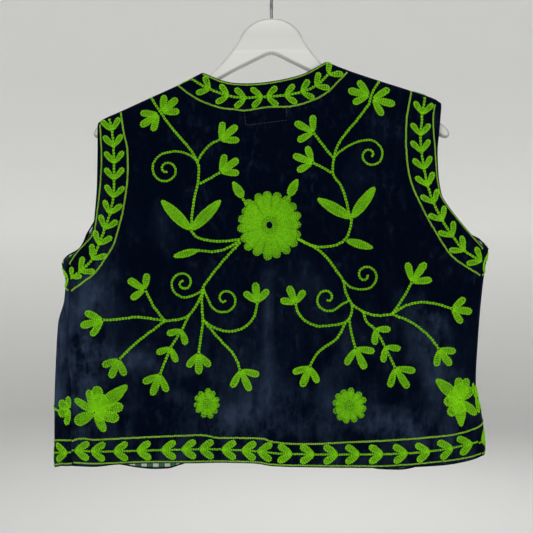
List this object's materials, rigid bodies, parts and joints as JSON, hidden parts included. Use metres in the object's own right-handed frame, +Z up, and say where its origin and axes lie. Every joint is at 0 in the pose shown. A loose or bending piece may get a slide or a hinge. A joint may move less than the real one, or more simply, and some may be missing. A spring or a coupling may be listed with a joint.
{
  "type": "embroidered vest on a hanger",
  "caption": "Boxy cropped velvet vest with chain-stitch flower embroidery, hanging on a flat wooden hanger with a wire hook.",
  "frame": {"origin": "inner top of the hook's crook, where the rail carries the hanger", "axes": "+Z up, +X to the right as the back panel is seen, the back panel faces -Y and the fronts face +Y"},
  "size_m": [0.5269, 0.0518, 0.6277],
  "materials": {
    "velvet": "navy cotton velvet, crushed nap with a soft sheen",
    "lining": "small woven check in black, green and white",
    "thread": "bright green chain-stitch yarn",
    "hanger_paint": "white painted wood, satin",
    "hook_steel": "dark steel wire"
  },
  "bodies": {
    "root": {"back_panel": "velvet", "front_left": "velvet", "front_right": "velvet", "lining_back": "lining", "lining_front_left": "lining", "lining_front_right": "lining", "flower_centre": "thread", "rosette_left": "thread", "rosette_right": "thread", "hanger": "hanger_paint", "hook": "hook_steel"}
  },
  "joints": []
}
